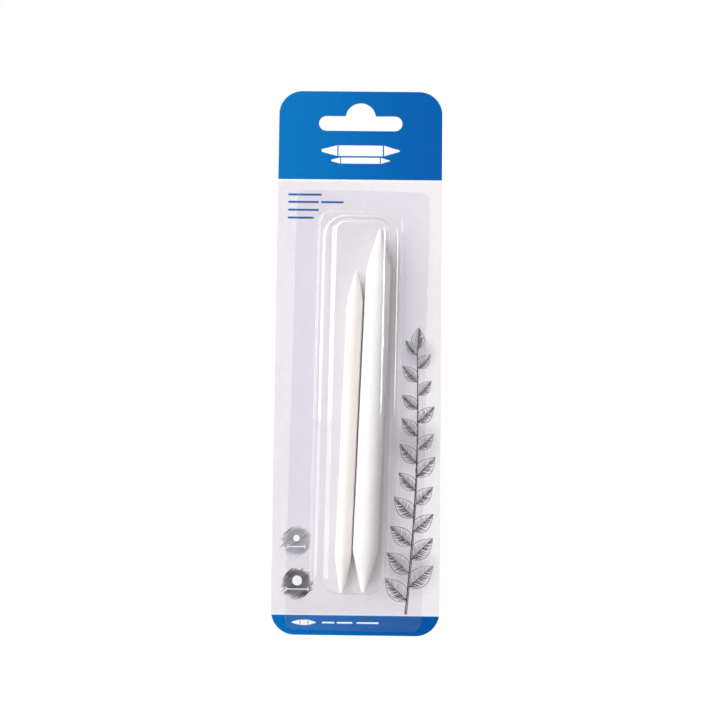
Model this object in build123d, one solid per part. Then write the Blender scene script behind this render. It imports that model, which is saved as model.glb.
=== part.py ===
from build123d import *
import math
import os

# A carded blister pack that holds a thin and a thick paper blending stump.
#
# Every piece is laid out in the card's own plane first: X to the right, Y up the card
# and Z out of its printed front, with Z = 0 on the card's back face and X = Y = 0 in the
# card's middle. hang() then stands the piece up, so that in the finished part +Z is up,
# the printed front looks along -Y, and the origin is the middle of the hang slot's arch
# on the card's back face. Lengths are in millimetres and angles in degrees.

# Card
card_width = 70.0
card_length = 230.5
card_thickness = 0.5
card_corner = 10.0
slot_width = 35.8
slot_height = 6.5
slot_middle = 101.2
arch_radius = 6.46
arch_middle = 103.64

# Printed areas, by height on the card. Bare board shows in the gaps between them.
header_bottom = 76.7
field_top = 75.9
field_bottom = -106.6
footer_top = -107.1
ink_thickness = 0.02
lacquer_thickness = 0.01

# Blister, formed from one sheet. It sits a little askew on the card.
sheet = 0.35
blister_lean = -0.7
flange_width = 57.1
flange_length = 185.3
flange_corner = 4.5
flange_middle = (0.22, -20.85)
pocket_middle = (-0.59, 1.55)
ledge_width = 35.5
ledge_length = 164.2
ledge_corner = 5.5
ledge_height = 1.5
ledge_edge = 0.6
ledge_foot = 0.5
dome_width = 28.1
dome_length = 157.3
dome_corner = 8.0
dome_height = 12.45
dome_edge = 4.2
dome_foot = 2.4
dome_draft = 3.0

# Stumps: rolled paper, pointed at both ends. foot is the lower point's place on the card,
# and seam is how far round the wrap its glued edge lies, from the side that faces out.
clearance = 0.05
thin = {
    "name": "thin",
    "radius": 3.45,
    "length": 134.5,
    "foot": (-5.7, -97.3),
    "lean": 2.0,
    "lower_cone": 14.1,
    "upper_cone": 13.3,
    "lower_tip": 0.95,
    "upper_tip": 0.4,
    "core": 0.8,
    "seam": 215.0,
}
thick = {
    "name": "thick",
    "radius": 5.25,
    "length": 151.2,
    "foot": (3.42, -97.0),
    "lean": 2.1,
    "lower_cone": 16.9,
    "upper_cone": 17.0,
    "lower_tip": 0.95,
    "upper_tip": 0.85,
    "core": 1.2,
    "seam": 145.0,
}
wrap_thickness = 0.15
lap_rise = 0.12
lap_angle = 30.0
lap_margin = 1.5

front_face = card_thickness
print_face = front_face + ink_thickness
seal_face = print_face + lacquer_thickness


def hang(piece):
    """Turns a piece laid out on the flat card upright, about the hang slot's arch."""
    return Pos(0, 0, -arch_middle) * Rot(90, 0, 0) * piece


def card_outline():
    """The die-cut card: a rounded rectangle less the hang slot and its arch."""
    slot = Pos(0, slot_middle) * SlotOverall(slot_width, slot_height)
    above_slot = Pos(0, slot_middle) * Rectangle(
        slot_width, 4 * arch_radius, align=(Align.CENTER, Align.MIN)
    )
    arch = (Pos(0, arch_middle) * Circle(arch_radius)) & above_slot
    return RectangleRounded(card_width, card_length, card_corner) - slot - arch


def backing_card():
    return extrude(card_outline(), card_thickness)


def printed_band(low, high):
    """Ink on the card's front, from one height on the card to another."""
    band = Pos(0, (low + high) / 2) * Rectangle(card_width, high - low)
    return Pos(0, 0, front_face) * extrude(card_outline() & band, ink_thickness)


def on_blister(shape):
    """Places a shape that is drawn about the flange's middle."""
    x, y = flange_middle
    return Pos(x, y, seal_face) * Rot(0, 0, blister_lean) * shape


def rounded(width, length, corner, inset=0.0):
    """A rounded rectangle about the pocket's middle, drawn in by inset all round."""
    outline = RectangleRounded(width - 2 * inset, length - 2 * inset, corner - inset)
    return Pos(*pocket_middle) * outline


def at_height(solid, height):
    """The edges that lie flat at one height."""
    return [
        edge
        for edge in solid.edges()
        if abs(edge.bounding_box().min.Z - height) < 0.001
        and abs(edge.bounding_box().max.Z - height) < 0.001
    ]


def foot_edges(solid, height, width, length):
    """The edges at one height that run round a wall's foot, width by length in size."""
    x, y = pocket_middle
    slack = 0.1
    return [
        edge
        for edge in at_height(solid, height)
        if abs(edge.center().X - x) < width / 2 + slack
        and abs(edge.center().Y - y) < length / 2 + slack
    ]


def dome(inset):
    """The deep part of the pocket, from the ledge up to its rounded crown."""
    narrowing = math.tan(math.radians(dome_draft)) * (dome_height - ledge_height)
    base = rounded(dome_width, dome_length, dome_corner, inset)
    crown = rounded(dome_width, dome_length, dome_corner, inset + narrowing)
    low = Pos(0, 0, ledge_height - inset)
    high = Pos(0, 0, dome_height - inset)
    solid = loft([low * base, high * crown], ruled=True)
    return fillet(at_height(solid, dome_height - inset), dome_edge - inset)


def formed(slab, inset):
    """A slab with the ledge and the dome standing on it, drawn in by inset on every side.

    Each wall meets what it stands on in a rounded foot, and the foot's radius grows as
    the wall is drawn in, so that the formed sheet keeps one thickness round its bends.
    """
    step = ledge_height - inset
    base = slab.bounding_box().max.Z
    ledge = extrude(rounded(ledge_width, ledge_length, ledge_corner, inset), step)
    ledge = fillet(at_height(ledge, step), ledge_edge - inset)
    solid = slab + ledge
    ledge_feet = foot_edges(solid, base, ledge_width, ledge_length)
    solid = fillet(ledge_feet, ledge_foot + inset) + dome(inset)
    dome_feet = foot_edges(solid, step, dome_width, dome_length)
    return fillet(dome_feet, dome_foot + inset)


def blister():
    """The formed sheet: a flat flange with the pocket's walls rising from it."""
    plate = RectangleRounded(flange_width, flange_length, flange_corner)
    outside = formed(extrude(plate, sheet), 0.0)
    below = Pos(0, 0, -1) * extrude(Rectangle(2 * flange_width, 2 * flange_length), 1)
    return on_blister(outside - formed(below, sheet))


def seal_coat():
    """Heat-seal lacquer on the print, under the flange and nowhere else."""
    outline = RectangleRounded(flange_width, flange_length, flange_corner)
    ring = outline - rounded(ledge_width, ledge_length, ledge_corner)
    x, y = flange_middle
    coat = extrude(ring, lacquer_thickness)
    return Pos(x, y, print_face) * Rot(0, 0, blister_lean) * coat


def stump_body(stump):
    """The whole stump as a turned shape, standing on its lower point."""
    radius = stump["radius"]
    length = stump["length"]
    outline = Polyline(
        (0, 0),
        (stump["lower_tip"], 0),
        (radius, stump["lower_cone"]),
        (radius, length - stump["upper_cone"]),
        (stump["upper_tip"], length),
        (0, length),
        (0, 0),
    )
    return revolve(Plane.XZ * make_face(outline), Axis.Z)


def rod(radius, stump):
    """A cylinder as long as the stump, for dividing it into its paper layers."""
    height = stump["length"]
    return Cylinder(radius, height, align=(Align.CENTER, Align.CENTER, Align.MIN))


def lap(stump):
    """The second thickness of paper where the wrap is glued down over itself."""
    low = stump["lower_cone"] + lap_margin
    high = stump["length"] - stump["upper_cone"] - lap_margin
    outer = stump["radius"] + lap_rise
    reach = 2 * stump["radius"]
    spread = reach * math.tan(math.radians(lap_angle / 2))
    wedge = make_face(Polyline((0, 0), (reach, spread), (reach, -spread), (0, 0)))
    ring = Circle(outer) - Circle(stump["radius"] - wrap_thickness)
    facing_out = -90
    turn = Rot(0, 0, facing_out + stump["seam"])
    return Pos(0, 0, low) * turn * extrude(ring & wedge, high - low)


def place_stump(stump, piece):
    """Lays an upright piece of a stump on the print, leaning as the stump does."""
    x, y = stump["foot"]
    height = print_face + clearance + stump["radius"]
    return Pos(x, y, height) * Rot(0, 0, -stump["lean"]) * Rot(-90, 0, 0) * piece


def stump_pieces(stump):
    """The tight core, the winding round it and the smooth outer wrap, by node name."""
    body = stump_body(stump)
    inside = rod(stump["radius"] - wrap_thickness, stump)
    core = rod(stump["core"], stump)
    pieces = {
        "core": body & core,
        "winding": (body & inside) - core,
        "wrap": (body - inside) + lap(stump),
    }
    return {f"{stump['name']}_{kind}": place_stump(stump, p) for kind, p in pieces.items()}


half_card = card_length / 2
nodes = {
    "backing_card": backing_card(),
    "header_print": printed_band(header_bottom, half_card),
    "field_print": printed_band(field_bottom, field_top),
    "footer_print": printed_band(-half_card, footer_top),
    "seal_coat": seal_coat(),
    "blister": blister(),
    **stump_pieces(thin),
    **stump_pieces(thick),
}

os.makedirs("parts", exist_ok=True)
for name, piece in nodes.items():
    export_step(hang(piece), f"parts/{name}.step")
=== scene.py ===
"""Looks for the carded pack of two paper blending stumps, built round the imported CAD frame.

Design lengths are in millimetres in the card's own plane: x across the card, up from its
middle, and out from its front face. place() turns them into metres in the shared frame.
"""

import math
import random

import bpy
from mathutils import Matrix, Vector


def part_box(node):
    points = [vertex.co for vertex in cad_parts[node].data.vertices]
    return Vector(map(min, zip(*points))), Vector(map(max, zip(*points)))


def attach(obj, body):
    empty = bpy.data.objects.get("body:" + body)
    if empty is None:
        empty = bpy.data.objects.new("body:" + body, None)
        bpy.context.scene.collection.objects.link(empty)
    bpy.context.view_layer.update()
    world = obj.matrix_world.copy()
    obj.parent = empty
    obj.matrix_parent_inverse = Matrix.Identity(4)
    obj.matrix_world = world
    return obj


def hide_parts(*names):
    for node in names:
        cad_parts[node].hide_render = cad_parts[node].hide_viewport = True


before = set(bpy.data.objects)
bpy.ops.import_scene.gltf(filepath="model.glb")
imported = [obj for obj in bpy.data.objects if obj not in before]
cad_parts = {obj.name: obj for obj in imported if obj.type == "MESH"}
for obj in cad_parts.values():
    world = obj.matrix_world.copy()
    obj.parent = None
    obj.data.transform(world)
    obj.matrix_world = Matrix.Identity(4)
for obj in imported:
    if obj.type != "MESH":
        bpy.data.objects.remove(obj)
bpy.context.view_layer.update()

MM = 0.001
TAU = 2 * math.pi
card_low, card_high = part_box("backing_card")
CARD_MIDDLE = Vector(((card_low.x + card_high.x) / 2, card_low.y, (card_low.z + card_high.z) / 2))
CARD_HALF_WIDTH = (card_high.x - card_low.x) / 2 / MM
PRINT_FACE = (card_low.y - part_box("field_print")[0].y) / MM
FIELD_FOOT = (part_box("field_print")[0].z - CARD_MIDDLE.z) / MM


def place(x, up, out=0.0):
    """A point on the card, in metres in the shared frame."""
    return CARD_MIDDLE + Vector((x, -out, up)) * MM


# ---------------------------------------------------------------- meshes


def link_mesh(name, verts, faces, sharp_above=35.0):
    """An object with a smooth-shaded mesh whose edges stay sharp above an angle."""
    mesh = bpy.data.meshes.new(name)
    mesh.from_pydata([tuple(v) for v in verts], [], faces)
    mesh.validate()
    for face in mesh.polygons:
        face.use_smooth = True
    mesh.set_sharp_from_angle(angle=math.radians(sharp_above))
    obj = bpy.data.objects.new(name, mesh)
    bpy.context.scene.collection.objects.link(obj)
    return obj


def as_piece(obj, body, slot, material, *nodes):
    """Gives a new object its finish and its body, and hides the CAD nodes that it stands for."""
    obj.data.materials.append(material)
    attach(obj, body)
    if nodes:
        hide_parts(*nodes)
    return obj


def skin_rings(rings, closed=False):
    """Vertices and quads for rings of equal length, each joined to the next."""
    count = len(rings[0])
    verts = [point for ring in rings for point in ring]
    pairs = list(zip(range(len(rings) - 1), range(1, len(rings))))
    if closed:
        pairs.append((len(rings) - 1, 0))
    faces = []
    for low, high in pairs:
        for i in range(count):
            j = (i + 1) % count
            faces.append((low * count + i, low * count + j, high * count + j, high * count + i))
    if not closed:
        faces.append(tuple(reversed(range(count))))
        last = (len(rings) - 1) * count
        faces.append(tuple(range(last, last + count)))
    return verts, faces


# ---------------------------------------------------------------- materials


def rgb(red, green, blue):
    """A colour as a paint chart gives it, 0 to 255, turned into linear light."""
    linear = [((c / 255 + 0.055) / 1.055) ** 2.4 if c > 10 else c / 255 / 12.92 for c in (red, green, blue)]
    return (*linear, 1.0)


class Look:
    """One material's node tree, with short calls for adding to it."""

    def __init__(self, name):
        self.material = bpy.data.materials.new(name)
        self.material.use_nodes = True
        self.tree = self.material.node_tree
        self.tree.nodes.clear()
        self.coords = self.add("ShaderNodeTexCoord").outputs["Object"]

    def add(self, kind, inputs=None, **settings):
        made = self.tree.nodes.new(kind)
        for key, value in settings.items():
            setattr(made, key, value)
        for key, value in (inputs or {}).items():
            if isinstance(value, bpy.types.NodeSocket):
                self.tree.links.new(value, made.inputs[key])
            else:
                made.inputs[key].default_value = value
        return made

    def noise(self, size, detail=3.0, stretch=None, rough=0.5):
        """Noise whose patches are about size millimetres across, from 0 to 1."""
        where = self.coords
        if stretch:
            where = self.add("ShaderNodeMapping", {"Vector": where, "Scale": stretch}).outputs[0]
        inputs = {"Vector": where, "Scale": 1 / (size * MM), "Detail": detail, "Roughness": rough}
        return self.add("ShaderNodeTexNoise", inputs).outputs["Fac"]

    def span(self, value, low, high, to_low, to_high, kind="LINEAR"):
        """value's run from low to high, spread over to_low to to_high."""
        inputs = {"Value": value, "From Min": low, "From Max": high, "To Min": to_low, "To Max": to_high}
        return self.add("ShaderNodeMapRange", inputs, interpolation_type=kind).outputs["Result"]

    def maths(self, operation, a, b=0.0):
        return self.add("ShaderNodeMath", {0: a, 1: b}, operation=operation).outputs[0]

    def mix(self, share, a, b):
        """Colour a, with b taking over as share goes from 0 to 1."""
        return self.add("ShaderNodeMix", {0: share, 6: a, 7: b}, data_type="RGBA").outputs[2]

    def relief(self, height, depth, strength=1.0, under=None):
        """A bump whose full height is depth millimetres."""
        inputs = {"Height": height, "Distance": depth * MM, "Strength": strength}
        if under is not None:
            inputs["Normal"] = under
        return self.add("ShaderNodeBump", inputs).outputs["Normal"]

    def distance(self, centre):
        """How far a point on the surface is from a centre, in metres."""
        inputs = {0: self.coords, 1: centre}
        return self.add("ShaderNodeVectorMath", inputs, operation="DISTANCE").outputs["Value"]

    def printed(self, colour, roughness_low, roughness_high, detail=3.0):
        """Ink under varnish: fine grain in its gloss and a slight orange peel."""
        grain = self.noise(0.16, detail=detail)
        roughness = self.span(grain, 0.3, 0.7, roughness_low, roughness_high)
        normal = self.relief(self.noise(1.6, detail=4), 0.012, 0.4)
        return self.painted(colour, roughness, normal, Specular_IOR_Level=0.02)

    def surface(self, shader):
        self.add("ShaderNodeOutputMaterial", {"Surface": shader.outputs[0]})
        return self.material

    def painted(self, colour, roughness, normal, **plain):
        """A Principled surface. plain holds the values that are the same all over it."""
        inputs = {"Base Color": colour, "Roughness": roughness, "Normal": normal}
        inputs.update({key.replace("_", " "): value for key, value in plain.items()})
        return self.surface(self.add("ShaderNodeBsdfPrincipled", inputs))


def board_look():
    """Coated board: smooth white faces with a faint fibre, and a greyer pulp at its cut edges."""
    look = Look("board")
    fibre = look.noise(0.9, detail=6, stretch=(1.0, 1.0, 0.35))
    speck = look.noise(0.25, detail=2)
    facing = look.add("ShaderNodeSeparateXYZ", {0: look.add("ShaderNodeNewGeometry").outputs["Normal"]})
    face = look.maths("ABSOLUTE", facing.outputs["Y"])
    cut = look.span(face, 0.4, 0.8, 1.0, 0.0)
    pulp = look.mix(look.span(speck, 0.35, 0.65, 0.0, 1.0), rgb(222, 218, 210), rgb(200, 194, 184))
    coated = look.mix(look.span(fibre, 0.3, 0.7, 0.0, 1.0), rgb(240, 239, 236), rgb(232, 230, 226))
    colour = look.mix(cut, coated, pulp)
    roughness = look.span(speck, 0.3, 0.7, 0.55, 0.75)
    return look.painted(colour, roughness, look.relief(fibre, 0.03, 0.5))


def ink_look(name, left, right, wash=None):
    """Offset ink under a thin varnish, its colour running from left to right across the card. On the blue
    prints the lighter left is a painted sheen of the light from the left; the pale field runs darker to the
    left.
    """
    look = Look(name)
    across = look.add("ShaderNodeSeparateXYZ", {0: look.coords}).outputs["X"]
    # Painted sheen: the blues are made lighter to the left, where the light comes from.
    drift = look.span(across, card_low.x, card_high.x, 0.0, 1.0, "SMOOTHSTEP")
    colour = look.mix(drift, left, right)
    mottle = look.noise(3.5, detail=4)
    darker = look.add("ShaderNodeHueSaturation", {"Color": colour, "Value": 0.94}).outputs[0]
    colour = look.mix(look.span(mottle, 0.35, 0.7, 0.0, 0.55), colour, darker)
    if wash:
        colour = wash(look, colour)
    return look.printed(colour, 0.32, 0.42, detail=2)


def charcoal_look():
    """Dry charcoal, printed: dark, broken by the grain of the paper that it was drawn on."""
    look = Look("charcoal_print")
    tone = look.add("ShaderNodeAttribute", attribute_name="tone").outputs["Fac"]
    colour = look.mix(tone, rgb(226, 223, 226), rgb(36, 33, 33))
    bare = look.span(look.noise(0.5, detail=5), 0.54, 0.68, 0.0, 0.45)
    colour = look.mix(bare, colour, rgb(198, 195, 199))
    return look.printed(colour, 0.34, 0.44)


def solid_ink_look(name, colour, thin_colour):
    """Small solid marks in one ink, with a slight mottle."""
    look = Look(name)
    mottle = look.noise(0.7, detail=4)
    mixed = look.mix(look.span(mottle, 0.4, 0.75, 0.0, 0.6), colour, thin_colour)
    return look.printed(mixed, 0.32, 0.44)


def paper_look(name, light, shade, fuzz, roughness_low):
    """Stump paper: matt, with fibres that run along the roll. fuzz is how far it is roughened."""
    look = Look(name)
    fibre = look.noise(0.35, detail=6, stretch=(1.0, 1.0, 0.16), rough=0.62)
    pulp = look.noise(0.18, detail=4)
    cloud = look.noise(6.0, detail=3)
    colour = look.mix(look.span(fibre, 0.38, 0.68, 0.0, 0.7), light, shade)
    colour = look.mix(look.span(cloud, 0.4, 0.7, 0.0, 0.4), colour, shade)
    roughness = look.span(pulp, 0.3, 0.7, roughness_low, 0.95)
    normal = look.relief(pulp, fuzz * 0.6, 0.8, look.relief(fibre, fuzz, 0.8))
    return look.painted(colour, roughness, normal, Specular_IOR_Level=0.2)


def clear_sheet_look():
    """Thin clear plastic. It passes light straight through and mirrors more as it turns away."""
    look = Look("clear_sheet")
    wave = look.noise(18.0, detail=1)
    ripple = look.noise(3.5, detail=1)
    out = look.add("ShaderNodeSeparateXYZ", {0: look.coords}).outputs["Y"]
    crown = look.span(out, place(0, 0, 11.2).y, place(0, 0, 11.8).y, 0.0, 1.0)
    unbonded = look.span(out, place(0, 0, 0.06).y, place(0, 0, 0.1).y, 0.0, 1.0)
    dents = look.span(look.noise(7.0, detail=1, stretch=(1.5, 1.0, 0.5)), 0.62, 0.8, 0.0, 1.0, "SMOOTHSTEP")
    dents = look.maths("MULTIPLY", dents, crown)
    normal = look.relief(dents, 0.05, 1.0, look.relief(ripple, 0.002, 0.5, look.relief(wave, 0.03, 0.5)))
    scuff = look.span(look.noise(1.1, detail=6), 0.35, 0.75, 0.03, 0.08)
    mirror = look.add("ShaderNodeBsdfGlossy", {"Roughness": scuff, "Normal": normal})
    clear = look.add("ShaderNodeBsdfTransparent", {"Color": (0.99, 0.989, 0.992, 1.0)})
    edge_on = look.add("ShaderNodeLayerWeight", {"Blend": 0.5}).outputs["Facing"]
    share = look.span(look.maths("POWER", edge_on, 5.0), 0.0, 1.0, 0.04, 0.3)
    share = look.maths("MULTIPLY", share, unbonded)
    lamp_ray = look.add("ShaderNodeLightPath").outputs["Is Shadow Ray"]
    share = look.maths("MULTIPLY", share, look.span(lamp_ray, 0.0, 1.0, 1.0, 0.4))
    mixed = look.add("ShaderNodeMixShader", {0: share, 1: clear.outputs[0], 2: mirror.outputs[0]})
    return look.surface(mixed)


def lacquer_look():
    """Heat-seal lacquer: all but invisible, with the sheen of a bonded film."""
    look = Look("seal_lacquer")
    patch = look.noise(2.2, detail=5)
    rough = look.span(patch, 0.3, 0.7, 0.2, 0.35)
    mirror = look.add("ShaderNodeBsdfGlossy", {"Roughness": rough})
    clear = look.add("ShaderNodeBsdfTransparent", {"Color": (0.993, 0.992, 1.0, 1.0)})
    share = look.span(patch, 0.3, 0.7, 0.003, 0.01)
    mixed = look.add("ShaderNodeMixShader", {0: share, 1: clear.outputs[0], 2: mirror.outputs[0]})
    return look.surface(mixed)


# ---------------------------------------------------------------- blister

SHEET = 0.35
BLISTER_LEAN = -0.7
FLANGE_EDGE = 0.3
FLANGE = (57.1, 185.3, 4.5)
LEDGE = (35.5, 164.2, 5.5)
DOME = (28.1, 157.3, 8.0)
POCKET_MIDDLE = (-0.59, 1.55)
LEDGE_HEIGHT, LEDGE_EDGE, LEDGE_FOOT = 1.5, 0.6, 0.5
DOME_HEIGHT, DRAFT = 12.45, 3.0
FOOT_SIDE, FOOT_END = 2.4, 1.95
CROWN_SIDE, CROWN_END = 4.2, 3.3
CROWN_SAG = 0.1
FILM_LOW, FILM_HIGH = 0.0078, 0.0094
SIDE_STEPS, CORNER_STEPS = 14, 14


def rounded_ring(width, length, corner, middle, height):
    """Points round a rounded rectangle, always in the same order and number."""
    corner = max(corner, 0.3)
    points = []
    for turn in range(4):
        side_x = 1 if turn in (0, 3) else -1
        side_y = 1 if turn in (0, 1) else -1
        centre_x = middle[0] + side_x * (width / 2 - corner)
        centre_y = middle[1] + side_y * (length / 2 - corner)
        for k in range(CORNER_STEPS + 1):
            angle = (turn + k / CORNER_STEPS) * TAU / 4
            points.append(
                (centre_x + corner * math.cos(angle), centre_y + corner * math.sin(angle), height)
            )
    ring = []
    arc = CORNER_STEPS + 1
    for turn in range(4):
        ring.extend(points[turn * arc : (turn + 1) * arc])
        start = points[(turn + 1) * arc - 1]
        end = points[(turn + 1) * arc % len(points)]
        for k in range(1, SIDE_STEPS):
            t = k / SIDE_STEPS
            ring.append(tuple(a + (b - a) * t for a, b in zip(start, end)))
    return ring


def sheet_profile():
    """The sheet's outer face as (outline, side inset, end inset, height) from flange to crown."""
    stations = [(FLANGE, 0.0, 0.0, 0.0)]
    for k in range(7):
        t = math.radians(90 * k / 6)
        inset = FLANGE_EDGE * (1 - math.cos(t))
        stations.append((FLANGE, inset, inset, SHEET - FLANGE_EDGE * (1 - math.sin(t))))
    stations.append((FLANGE, 0.6, 0.6, SHEET))
    stations.append((LEDGE, -1.2, -1.2, SHEET))
    for k in range(7):
        t = math.radians(90 * k / 6)
        inset = -LEDGE_FOOT * (1 - math.sin(t))
        stations.append((LEDGE, inset, inset, SHEET + LEDGE_FOOT * (1 - math.cos(t))))
    for k in range(7):
        t = math.radians(90 * k / 6)
        inset = LEDGE_EDGE * (1 - math.cos(t))
        stations.append((LEDGE, inset, inset, LEDGE_HEIGHT - LEDGE_EDGE * (1 - math.sin(t))))
    reach = math.tan(math.radians((90 - DRAFT) / 2))
    for k in range(15):
        t = math.radians((90 - DRAFT) * k / 14)
        side = FOOT_SIDE * (math.sin(t) - reach)
        end = FOOT_END * (math.sin(t) - reach)
        stations.append((DOME, side, end, LEDGE_HEIGHT + FOOT_SIDE * (1 - math.cos(t))))
    top_inset = math.tan(math.radians(DRAFT)) * (DOME_HEIGHT - LEDGE_HEIGHT)
    for k in range(21):
        t = math.radians(DRAFT + (90 - DRAFT) * k / 20)
        side = top_inset + CROWN_SIDE * (reach - math.cos(t))
        end = top_inset + CROWN_END * (reach - math.cos(t))
        height = DOME_HEIGHT - CROWN_SAG - CROWN_SIDE * (1 - math.sin(t))
        stations.append((DOME, side, end, height))
    crown_edge = top_inset + CROWN_SIDE * reach
    spare = DOME[0] / 2 - crown_edge
    for share in (0.15, 0.35, 0.6, 0.88):
        inset = spare * share
        rise = CROWN_SAG * (1 - (1 - share) ** 2)
        stations.append((DOME, crown_edge + inset, end + inset, DOME_HEIGHT - CROWN_SAG + rise))
    return stations


def sheet_ring(outline, side, end, height):
    width, length, corner = outline
    middle = (0.0, 0.0) if outline is FLANGE else POCKET_MIDDLE
    return rounded_ring(width - 2 * side, length - 2 * end, corner - side, middle, height)


def inner_ring(stations, i):
    """The ring one sheet's thickness inside station i."""
    outline, side, end, height = stations[i]
    if outline is FLANGE:
        return sheet_ring(outline, side, end, 0.0)
    before = stations[max(i - 1, 0)]
    after = stations[min(i + 1, len(stations) - 1)]
    run = (after[1] - before[1]) if before[0] is after[0] else 1.0
    rise = after[3] - before[3]
    long = math.hypot(run, rise) or 1.0
    inward, down = SHEET * rise / long, SHEET * run / long
    return sheet_ring(outline, side + inward, end + inward, height - down)


def on_flange(middle, points):
    """Points drawn about the flange's middle, turned as the blister is and put in the frame."""
    lean = Matrix.Rotation(math.radians(-BLISTER_LEAN), 3, "Y")
    return [middle + lean @ Vector((x, -out, up)) * MM for x, up, out in points]


def blister_piece(material):
    stations = sheet_profile()
    outer = [sheet_ring(*station) for station in stations]
    inner = [inner_ring(stations, i) for i in range(1, len(stations))]
    verts, faces = skin_rings([*reversed(inner), *outer])
    low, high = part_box("blister")
    middle = Vector(((low.x + high.x) / 2, high.y, (low.z + high.z) / 2))
    obj = link_mesh("blister_sheet", on_flange(middle, verts), faces, sharp_above=50)
    return as_piece(obj, "blister", "clear_sheet", material, "blister")


def seal_piece(material):
    """The lacquer as a ring of film between the marks and the flange."""
    low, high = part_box("seal_coat")
    middle = Vector(((low.x + high.x) / 2, high.y, (low.z + high.z) / 2))
    rings = []
    for outline, inset, out in (
        (FLANGE, 0.05, FILM_LOW),
        (FLANGE, 0.05, FILM_HIGH),
        (LEDGE, -LEDGE_FOOT, FILM_HIGH),
        (LEDGE, -LEDGE_FOOT, FILM_LOW),
    ):
        rings.append(sheet_ring(outline, inset, inset, out))
    verts, faces = skin_rings(rings, closed=True)
    obj = link_mesh("seal_film", on_flange(middle, verts), faces)
    return as_piece(obj, "card", "lacquer", material, "seal_coat")


# ---------------------------------------------------------------- stumps

CLEARANCE = 0.05
WRAP = 0.15
LAP_RISE, LAP_ANGLE, LAP_MARGIN = 0.12, 30.0, 1.5
PAPER = 0.11
POINT_SOFTNESS = 0.22
TIP_ROUND = 0.3
CORE_GAP, WRAP_GAP = 0.004, 0.006
TURNS = 96
CONE_STEPS, BARREL_STEPS = 62, 26

STUMPS = {
    "thin": {
        "radius": 3.45,
        "length": 134.5,
        "foot": (-5.7, -97.3),
        "lean": 2.0,
        "cones": (14.1, 13.3),
        "tips": (0.95, 0.4),
        "core": 0.8,
        "seam": 215.0,
        "light": rgb(253, 249, 245),
        "shade": rgb(246, 240, 235),
    },
    "thick": {
        "radius": 5.25,
        "length": 151.2,
        "foot": (3.42, -97.0),
        "lean": 2.1,
        "cones": (16.9, 17.0),
        "tips": (0.95, 0.85),
        "core": 1.2,
        "seam": 145.0,
        "light": rgb(252, 250, 250),
        "shade": rgb(244, 241, 241),
    },
}


def soft_lesser(a, b, width):
    """The lesser of two lengths, with the corner where they cross rounded over width."""
    share = max(0.0, min(1.0, 0.5 + (b - a) / (2 * width)))
    return b + (a - b) * share - width * share * (1 - share)


def point_radius(stump, z):
    """The sanded shape's radius at a height along the stump."""
    radius, length = stump["radius"], stump["length"]
    result = radius
    for distance, cone, tip in (
        (z, stump["cones"][0], stump["tips"][0]),
        (length - z, stump["cones"][1], stump["tips"][1]),
    ):
        share = max(distance, 0.0) / cone
        cone_radius = tip + (radius - tip) * (share + 0.10 * share * (1 - share))
        result = soft_lesser(cone_radius, result, POINT_SOFTNESS)
    end = min(z, length - z)
    if end < TIP_ROUND:
        result -= TIP_ROUND * (1 - math.sqrt(max(0.0, 1 - (1 - end / TIP_ROUND) ** 2)))
    return max(result, 0.05)


def layer_steps(stump, radius, angle):
    """How far a point on a sanded cone lies below it, where one paper layer ends over the next."""
    turn = (stump["radius"] - radius) / PAPER + angle / TAU
    wander = 0.25 * math.sin(3 * angle + 1.7 * radius) + 0.15 * math.sin(7 * angle - 2.1 * radius)
    return 0.05 * ((turn + wander) % 1.0)


def stump_levels(stump):
    """Heights along the stump, close together on the cones and far apart on the barrel."""
    low, high = stump["cones"]
    length = stump["length"]
    rounding = [0.0, 0.04, 0.12, 0.22]
    start, end = low + 1.0, length - high - 1.0
    levels = [*rounding, TIP_ROUND]
    levels += [TIP_ROUND + (start - TIP_ROUND) * k / CONE_STEPS for k in range(1, CONE_STEPS + 1)]
    levels += [start + (end - start) * k / BARREL_STEPS for k in range(1, BARREL_STEPS + 1)]
    levels += [end + (length - TIP_ROUND - end) * k / CONE_STEPS for k in range(1, CONE_STEPS + 1)]
    return levels + [length - step for step in reversed(rounding)]


def turned(levels, radius_at):
    """Rings round the Z axis, one at each level."""
    rings = []
    for z in levels:
        ring = []
        for i in range(TURNS):
            angle = TAU * i / TURNS
            radius = radius_at(z, angle)
            ring.append((radius * math.cos(angle), radius * math.sin(angle), z))
        rings.append(ring)
    return rings


def lap_height(stump, z, angle):
    """How far the glued lap stands above the barrel: it rises slowly and ends in a cut edge."""
    low = stump["cones"][0] + LAP_MARGIN
    high = stump["length"] - stump["cones"][1] - LAP_MARGIN
    if not low <= z <= high:
        return 0.0
    seam = math.radians(stump["seam"] - 90)
    turn = ((angle - seam + math.pi) % TAU) - math.pi
    share = turn / math.radians(LAP_ANGLE) + 0.5
    if not 0.0 <= share <= 1.0:
        return 0.0
    ends = min(1.0, (z - low) / 2.5, (high - z) / 2.5)
    return LAP_RISE * ends * (share**0.7 if share < 0.97 else (1 - share) / 0.03)


def stump_matrix(stump):
    x, up = stump["foot"]
    out = PRINT_FACE + CLEARANCE + stump["radius"]
    lean = Matrix.Rotation(math.radians(stump["lean"]), 4, "Y")
    return Matrix.Translation(place(x, up, out)) @ lean


def stump_part(name, rings, stump, body, slot, material, node, closed):
    verts, faces = skin_rings(rings, closed)
    verts = [Vector(v) * MM for v in verts]
    obj = link_mesh(name, verts, faces, sharp_above=60)
    obj.matrix_world = stump_matrix(stump)
    return as_piece(obj, body, slot, material, node)


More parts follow.
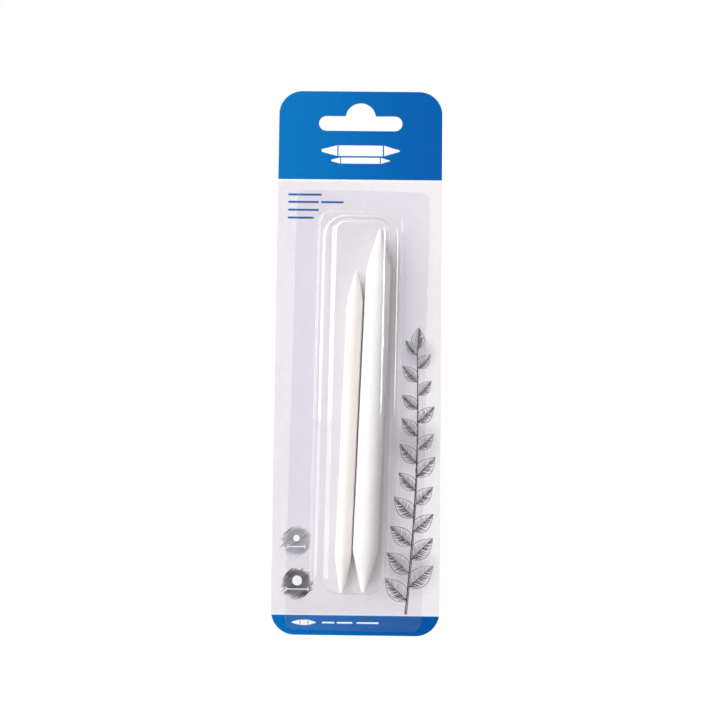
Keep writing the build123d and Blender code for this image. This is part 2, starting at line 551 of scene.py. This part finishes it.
def stump_pieces(kind):
    """The rolled core, the sanded winding and the smooth wrap of one stump."""
    stump = STUMPS[kind]
    body = f"{kind}_stump"
    radius, length, core = stump["radius"], stump["length"], stump["core"]
    inside = radius - WRAP
    levels = stump_levels(stump)
    wrapped = [z for z in levels if point_radius(stump, z) > inside + 0.01]

    def winding_radius(z, angle):
        shape = point_radius(stump, z)
        if shape > inside:
            return inside
        return max(shape - layer_steps(stump, shape, angle), core + 0.02)

    def wrap_radius(z, angle):
        return max(point_radius(stump, z), inside + 2 * WRAP_GAP) + lap_height(stump, z, angle)

    core_levels = [z for z in levels if z <= 1.2 or z >= length - 1.2]
    core_rings = turned(core_levels, lambda z, angle: min(core, point_radius(stump, z)))
    winding_levels = [z for z in levels if point_radius(stump, z) > core + 0.02]
    outer = turned(winding_levels, winding_radius)
    bore = turned([winding_levels[-1], winding_levels[0]], lambda z, angle: core + CORE_GAP)
    wrap_outer = turned(wrapped, wrap_radius)
    wrap_inner = turned([wrapped[-1], wrapped[0]], lambda z, angle: inside + WRAP_GAP)

    light, shade = stump["light"], stump["shade"]
    soft = paper_look(f"{kind}_sanded_paper", light, shade, 0.06, 0.82)
    rolled = paper_look(f"{kind}_core_paper", shade, light, 0.05, 0.82)
    smooth = paper_look(f"{kind}_wrap_paper", light, shade, 0.02, 0.6)
    stump_part(f"{kind}_rolled_core", core_rings, stump, body, "core_paper", rolled, f"{kind}_core", False)
    winding_rings = [*outer, *bore]
    wrap_rings = [*wrap_outer, *wrap_inner]
    stump_part(
        f"{kind}_sanded_winding", winding_rings, stump, body, "soft_paper", soft, f"{kind}_winding", True
    )
    stump_part(
        f"{kind}_smooth_wrap", wrap_rings, stump, body, "wrap_paper", smooth, f"{kind}_wrap", True
    )


# ---------------------------------------------------------------- printed marks

MARK_LOW = 0.0005
STROKE_TOPS = (0.002, 0.0052)
SIGN_TOPS = (0.006, 0.0068)

# The drawing is a plain leafy sprig, made by rule. Smudges are (x, up, radius).
DRAWING_FOOT = -106.4
SPRIG_FOOT, SPRIG_TIP, SPRIG_BOW = (21.0, DRAWING_FOOT), (25.0, 4.0), 2.0
LEAVES, LEAF_HATCHES = 19, 20
LEAF_LENGTH, LEAF_HALF_WIDTH = 13.5, 3.9
SMUDGES = ((24.0, -88.0, 13.0), (25.0, -36.0, 14.0), (26.0, 2.0, 9.0))
# The stem's dark edge and its broken one, as (offset, thickness, tone).
STEM_EDGES = ((0.4, 0.2, 0.9), (-0.34, 0.4, 1.0))
STEM_STEPS, LEAF_STEPS, MIDRIB_STEPS = 40, 12, 8

# The two patches that the size signs lie on.
BADGES = (
    {
        "x": -24.8,
        "up": -76.7,
        "radius": 6.0,
        "stroke": 0.4,
        "tone": 0.66,
        "wash": 0.42,
        "disc": 1.35,
        "line": 7.5,
    },
    {
        "x": -24.3,
        "up": -94.2,
        "radius": 6.2,
        "stroke": 0.54,
        "tone": 0.9,
        "wash": 0.75,
        "disc": 2.05,
        "line": 9.5,
    },
)


class Marks:
    """Printed strokes and shapes, gathered into one thin mesh that lies on the print."""

    def __init__(self, seed, tops=SIGN_TOPS):
        self.dice = random.Random(seed)
        self.tops = tops
        self.verts, self.faces, self.tones = [], [], []

    def levels(self):
        """A stroke's underside and top. Tops differ a little, so that crossings stay clean."""
        return PRINT_FACE + MARK_LOW, PRINT_FACE + self.dice.uniform(*self.tops)

    def add(self, points, faces, tone):
        start = len(self.verts)
        self.verts.extend(points)
        self.tones.extend([tone] * len(points))
        self.faces.extend(tuple(start + i for i in face) for face in faces)

    def stroke(self, line, widths, tone):
        """A tapering line. widths are at its start, middle and end."""
        line = [p for p in line if abs(p[0]) < CARD_HALF_WIDTH - 0.3 and p[1] > FIELD_FOOT + 0.1]
        if len(line) < 2:
            return
        low, top = self.levels()
        points = []
        for i, (x, up) in enumerate(line):
            ahead, behind = line[min(i + 1, len(line) - 1)], line[max(i - 1, 0)]
            dx, dy = ahead[0] - behind[0], ahead[1] - behind[1]
            long = math.hypot(dx, dy) or 1.0
            t = 2 * i / (len(line) - 1)
            a, b = (widths[0], widths[1]) if t < 1 else (widths[1], widths[2])
            half = (a + (b - a) * (t if t < 1 else t - 1)) / 2
            nx, ny = -dy / long * half, dx / long * half
            for side, out in ((1, low), (1, top), (-1, top), (-1, low)):
                points.append(place(x + side * nx, up + side * ny, out))
        faces = [(0, 1, 2, 3)]
        for i in range(len(line) - 1):
            for k in range(4):
                j = (k + 1) % 4
                faces.append((4 * i + j, 4 * i + k, 4 * i + 4 + k, 4 * i + 4 + j))
        last = 4 * (len(line) - 1)
        faces.append((last + 3, last + 2, last + 1, last))
        self.add(points, faces, tone)

    def plate(self, outline, tone=1.0):
        """A filled shape. outline runs anticlockwise as seen from the front."""
        low, top = self.levels()
        count = len(outline)
        points = [place(x, up, low) for x, up in outline] + [place(x, up, top) for x, up in outline]
        faces = [tuple(reversed(range(count))), tuple(range(count, 2 * count))]
        for i in range(count):
            j = (i + 1) % count
            faces.append((i, j, count + j, count + i))
        self.add(points, faces, tone)

    def ring(self, x, up, outer, inner, tone=1.0, steps=40):
        """A filled ring, as a band of quads."""
        low, top = self.levels()
        points, faces = [], []
        for i in range(steps):
            angle = TAU * i / steps
            for radius, out in ((outer, low), (outer, top), (inner, top), (inner, low)):
                points.append(place(x + radius * math.cos(angle), up + radius * math.sin(angle), out))
        for i in range(steps):
            for k in range(4):
                j = (k + 1) % 4
                a, b = 4 * i, 4 * ((i + 1) % steps)
                faces.append((a + k, a + j, b + j, b + k))
        self.add(points, faces, tone)

    def piece(self, name, slot, material):
        obj = link_mesh(name, self.verts, self.faces)
        tone = obj.data.attributes.new("tone", "FLOAT", "POINT")
        tone.data.foreach_set("value", self.tones)
        return as_piece(obj, "card", slot, material)


def bar(x, up, width, height):
    """A bar with rounded ends, from its left end's middle height."""
    half = height / 2
    outline = []
    for centre, start in ((x + width - half, -90), (x + half, 90)):
        for k in range(7):
            angle = math.radians(start + 180 * k / 6)
            outline.append((centre + half * math.cos(angle), up + half * math.sin(angle)))
    return outline


def draw_stump_sign(marks, x, up, length, height, gap):
    """A plain sign of a stump: two points and a barrel, lying flat."""
    half, cone = height / 2, height * 1.45
    end = x + length
    blunt, fine = 0.12 * height, 0.06 * height
    marks.plate([(x, up - blunt), (x + cone, up - half), (x + cone, up + half), (x, up + blunt)])
    marks.plate(
        [
            (x + cone + gap, up - half),
            (end - cone - gap, up - half),
            (end - cone - gap, up + half),
            (x + cone + gap, up + half),
        ]
    )
    marks.plate([(end, up + fine), (end - cone, up + half), (end - cone, up - half), (end, up - fine)])


def sprig_point(t):
    """A point on the sprig's stem, t from 0 at its foot to 1 at its tip."""
    (foot_x, foot_up), (tip_x, tip_up) = SPRIG_FOOT, SPRIG_TIP
    bow = SPRIG_BOW * math.sin(math.pi * t)
    return foot_x + (tip_x - foot_x) * t + bow, foot_up + (tip_up - foot_up) * t


def draw_leaf(marks, x, up, heading, length, half_width):
    """A pointed leaf: hatching from its midrib, darker on its lower side, then both edges."""
    dice = marks.dice
    along = (math.cos(heading), math.sin(heading))
    across = (-along[1], along[0])
    shaded = -1 if along[0] > 0 else 1

    def spot(t, side):
        """A point t of the way along the leaf. side runs from -1 to 1 across it."""
        out = side * half_width * math.sin(math.pi * t**0.8)
        return x + t * length * along[0] + out * across[0], up + t * length * along[1] + out * across[1]

    for side in (-1, 1):
        darker = 0.4 if side == shaded else 0.0
        for k in range(LEAF_HATCHES):
            t = (k + dice.uniform(0.2, 0.8)) / LEAF_HATCHES
            reach = side * dice.uniform(0.7, 1.0)
            line = [spot(t, 0), spot(min(t + 0.07, 1.0), 0.5 * reach), spot(min(t + 0.13, 1.0), reach)]
            marks.stroke(line, (0.5, 0.42, 0.12), dice.uniform(0.28, 0.5) + darker)
        edge = [spot(k / LEAF_STEPS, side) for k in range(LEAF_STEPS + 1)]
        marks.stroke(edge, (0.16, 0.3, 0.14), dice.uniform(0.7, 0.85))
    midrib = [spot(k / MIDRIB_STEPS, 0) for k in range(MIDRIB_STEPS + 1)]
    marks.stroke(midrib, (0.55, 0.32, 0.12), 0.95)


def draw_sprig(marks):
    """A stem with a dark and a broken edge, leaves on alternate sides, and one at its tip."""
    dice = marks.dice
    line = [sprig_point(k / STEM_STEPS) for k in range(STEM_STEPS + 1)]
    marks.stroke(line, (1.1, 0.8, 0.4), 0.6)
    for offset, thick, tone in STEM_EDGES:
        edge = [(x + offset * (1 - 0.6 * k / STEM_STEPS), up) for k, (x, up) in enumerate(line)]
        marks.stroke(edge, (thick, thick, thick * 0.6), tone)
    for k in range(LEAVES):
        t = 0.05 + 0.93 * k / (LEAVES - 1)
        side = 1 if k % 2 else -1
        size = (1 - 0.4 * t) * dice.uniform(0.92, 1.08)
        heading = math.radians(90 - side * dice.uniform(40, 50))
        draw_leaf(marks, *sprig_point(t), heading, LEAF_LENGTH * size, LEAF_HALF_WIDTH * size)
    draw_leaf(marks, *SPRIG_TIP, math.radians(86), LEAF_LENGTH * 0.7, LEAF_HALF_WIDTH * 0.7)


def draw_badge(marks, x, up, radius, weight, tone):
    """A round patch of slanting charcoal strokes."""
    dice = marks.dice
    slant = math.radians(38)
    along = (math.cos(slant), math.sin(slant))
    across = (-along[1], along[0])
    count = 25
    for k in range(count):
        offset = radius * (2 * (k + 0.5) / count - 1) + dice.uniform(-0.12, 0.12)
        half = math.sqrt(max(0.3, radius**2 - offset**2)) + dice.uniform(-0.9, 1.1)
        start = -half + dice.uniform(-1.0, 0.8)
        line = []
        for i in range(7):
            d = start + (half - start) * i / 6
            wobble = offset + 0.12 * math.sin(d * 1.3 + k)
            line.append((x + d * along[0] + wobble * across[0], up + d * along[1] + wobble * across[1]))
        width = weight * dice.uniform(0.7, 1.25)
        marks.stroke(line, (width * 0.4, width, width * 0.5), tone + dice.uniform(-0.12, 0.1))


def draw_drawing(material):
    """The charcoal drawing: a leafy sprig, and the patches under the size signs."""
    marks = Marks(11, STROKE_TOPS)
    draw_sprig(marks)
    for badge in BADGES:
        draw_badge(marks, badge["x"], badge["up"], badge["radius"], badge["stroke"], badge["tone"])
    marks.piece("charcoal_drawing", "field_ink", material)


def draw_signs(white, blue):
    """Plain signs and bars where a pack has its name, its wording and its sizes."""
    header = Marks(21)
    draw_stump_sign(header, -16.6, 89.3, 33.4, 4.6, 0.55)
    draw_stump_sign(header, -12.4, 85.0, 25.0, 2.6, 0.45)
    header.piece("header_signs", "header_ink", white)

    wording = Marks(22)
    rows = (
        (70.0, ((-30.7, 14.5),)),
        (66.8, ((-30.7, 13.2), (-16.6, 9.8))),
        (63.4, ((-30.7, 13.3),)),
        (60.0, ((-30.7, 11.2),)),
    )
    for up, bars in rows:
        for x, width in bars:
            wording.plate(bar(x, up + 0.05, width, 0.9))
    wording.piece("wording_bars", "header_ink", blue)

    sizes = Marks(23)
    for badge in BADGES:
        x, up, span = badge["x"], badge["up"], badge["line"]
        sizes.ring(x, up + 1.2, badge["disc"], 0.01)
        low = up - 2.3
        sizes.plate(bar(x - span / 2, low, span, 0.4))
        for end in (x - span / 2, x + span / 2 - 0.4):
            sizes.plate([(end, low - 0.9), (end + 0.4, low - 0.9), (end + 0.4, low + 0.9), (end, low + 0.9)])
    sizes.piece("size_signs", "field_ink", white)

    footer = Marks(24)
    draw_stump_sign(footer, -26.2, -110.1, 10.0, 2.2, 0.3)
    for x, width in ((-13.7, 5.2), (-7.6, 6.6), (0.6, 9.2)):
        footer.plate(bar(x, -110.1, width, 0.7))
    footer.piece("footer_signs", "footer_ink", white)


def field_wash(look, colour):
    """Soft rubbed charcoal behind the drawing: a few smudges, and the two size patches."""
    mottle = look.noise(0.55, detail=6, rough=0.75)
    grey, dark = rgb(138, 136, 141), rgb(48, 47, 51)
    for x, up, radius in SMUDGES:
        away = look.distance(place(x, up, PRINT_FACE))
        soft = look.span(away, radius * MM * 0.25, radius * MM, 0.6, 0.0, "SMOOTHSTEP")
        grainy = look.maths("MULTIPLY", soft, look.span(mottle, 0.44, 0.58, 0.35, 1.0))
        colour = look.mix(grainy, colour, grey)
    for badge in BADGES:
        away = look.distance(place(badge["x"], badge["up"], PRINT_FACE))
        rim = badge["radius"] * MM
        patch = look.span(away, rim * 0.8, rim * 0.98, badge["wash"], 0.0, "SMOOTHSTEP")
        grainy = look.maths("MULTIPLY", patch, look.span(mottle, 0.35, 0.6, 0.5, 1.0))
        colour = look.mix(grainy, colour, dark)
    return colour


# ---------------------------------------------------------------- studio

FLOOR_GAP, FLOOR_HALF = 0.14, 4.0


def softbox(name, azimuth, elevation, distance, size, radiance, lights=True, mirrored=True):
    """An area light aimed at the pack. Azimuth runs from straight in front to the right.

    lights says whether it lights matt surfaces, and mirrored whether gloss shows it.
    """
    middle = place(0, 0, 6)
    a, e = math.radians(azimuth), math.radians(elevation)
    away = Vector((math.sin(a) * math.cos(e), -math.cos(a) * math.cos(e), math.sin(e)))
    light = bpy.data.lights.new(name, "AREA")
    light.shape = "RECTANGLE"
    light.size, light.size_y = size
    light.energy = radiance * math.pi * size[0] * size[1]
    obj = bpy.data.objects.new(name, light)
    bpy.context.scene.collection.objects.link(obj)
    obj.location = middle + away * distance
    obj.rotation_euler = (-away).to_track_quat("-Z", "Y").to_euler()
    obj.visible_camera = False
    obj.visible_diffuse = lights
    obj.visible_glossy = mirrored
    return obj


def studio():
    softbox("key", -43, 16, 1.0, (1.1, 1.1), 3.06, mirrored=False)
    softbox("front_fill", 2, 10, 1.2, (0.8, 0.8), 0.66, mirrored=False)
    softbox("rear_right", 145, 24, 1.2, (1.0, 1.0), 2.4)
    softbox("rear_left", -150, 8, 1.2, (0.8, 1.0), 1.6)
    softbox("left_panel", -42, 20, 1.0, (1.15, 0.7), 5.6, lights=False)
    softbox("left_low", -42, -10, 1.0, (1.15, 0.36), 2.6, lights=False)
    softbox("top_strip", -17, 36, 1.0, (0.5, 0.4), 4.2, lights=False)
    softbox("right_strip", 21, 11, 1.0, (0.26, 0.36), 12.0, lights=False)
    softbox("right_rim", 88, 6, 1.0, (0.14, 1.2), 3.0, lights=False)

    world = bpy.data.worlds.new("studio")
    world.use_nodes = True
    tree = world.node_tree
    tree.nodes.clear()
    path = tree.nodes.new("ShaderNodeLightPath")
    where = tree.nodes.new("ShaderNodeTexCoord")
    axes = tree.nodes.new("ShaderNodeSeparateXYZ")
    tree.links.new(where.outputs["Generated"], axes.inputs[0])
    height = tree.nodes.new("ShaderNodeMapRange")
    height.inputs["From Min"].default_value = 0.1
    height.inputs["From Max"].default_value = 0.9
    height.inputs["To Min"].default_value = 0.08
    height.inputs["To Max"].default_value = 0.52
    tree.links.new(axes.outputs["Z"], height.inputs["Value"])
    room = tree.nodes.new("ShaderNodeBackground")
    room.inputs["Color"].default_value = (1, 1, 1, 1)
    tree.links.new(height.outputs["Result"], room.inputs["Strength"])
    seen = tree.nodes.new("ShaderNodeBackground")
    seen.inputs["Color"].default_value = (1, 1, 1, 1)
    seen.inputs["Strength"].default_value = 1.0
    both = tree.nodes.new("ShaderNodeMixShader")
    out = tree.nodes.new("ShaderNodeOutputWorld")
    tree.links.new(path.outputs["Is Camera Ray"], both.inputs[0])
    tree.links.new(room.outputs[0], both.inputs[1])
    tree.links.new(seen.outputs[0], both.inputs[2])
    tree.links.new(both.outputs[0], out.inputs["Surface"])
    bpy.context.scene.world = world

    drop = card_low.z - FLOOR_GAP
    corners = [(x * FLOOR_HALF, y * FLOOR_HALF, drop) for x, y in ((-1, -1), (1, -1), (1, 1), (-1, 1))]
    floor = link_mesh("floor", corners, [(0, 1, 2, 3)])
    look = Look("pale_floor")
    pale = look.add("ShaderNodeBsdfDiffuse", {"Color": rgb(214, 214, 214)})
    glow = look.add("ShaderNodeEmission", {"Strength": 1.06})
    camera_ray = look.add("ShaderNodeLightPath").outputs["Is Camera Ray"]
    share = look.span(camera_ray, 0.0, 1.0, 0.0, 0.95)
    mixed = look.add("ShaderNodeMixShader", {0: share, 1: pale.outputs[0], 2: glow.outputs[0]})
    floor.data.materials.append(look.surface(mixed))


def camera():
    """A 60 mm lens in front of the pack, a little below its middle and turned up to it."""
    data = bpy.data.cameras.new("camera")
    data.lens = 60
    data.sensor_width = 36
    obj = bpy.data.objects.new("camera", data)
    bpy.context.scene.collection.objects.link(obj)
    turn = (
        Matrix.Rotation(math.radians(-0.615), 4, "Z")
        @ Matrix.Rotation(math.radians(-0.501), 4, "Y")
        @ Matrix.Rotation(math.radians(-4.676), 4, "X")
    )
    upright = Matrix.Rotation(math.radians(90), 4, "X")
    obj.matrix_world = Matrix.Translation(place(5.27, -41.95, 505.16)) @ upright @ turn.transposed()
    bpy.context.scene.camera = obj


# ---------------------------------------------------------------- the scene


def paint_node(node, material):
    """Gives a CAD node that keeps its shape a better material."""
    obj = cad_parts[node]
    obj.data.materials.clear()
    obj.data.materials.append(material)


paint_node("backing_card", board_look())
# Both blues are given lighter at the left: a painted sheen of the light from the left.
paint_node("header_print", ink_look("header_blue", rgb(0, 112, 184), rgb(0, 92, 170)))
paint_node("footer_print", ink_look("footer_blue", rgb(0, 104, 178), rgb(0, 84, 160)))
paint_node("field_print", ink_look("field_pale", rgb(225, 221, 226), rgb(237, 233, 236), field_wash))

seal_piece(lacquer_look())
blister_piece(clear_sheet_look())
stump_pieces("thin")
stump_pieces("thick")

white_ink = solid_ink_look("white_marks", rgb(246, 247, 249), rgb(232, 236, 242))
blue_ink = solid_ink_look("blue_marks", rgb(22, 96, 160), rgb(58, 120, 176))
draw_drawing(charcoal_look())
draw_signs(white_ink, blue_ink)

studio()
camera()

scene = bpy.context.scene
scene.view_settings.view_transform = "Standard"
scene.cycles.transparent_max_bounces = 32
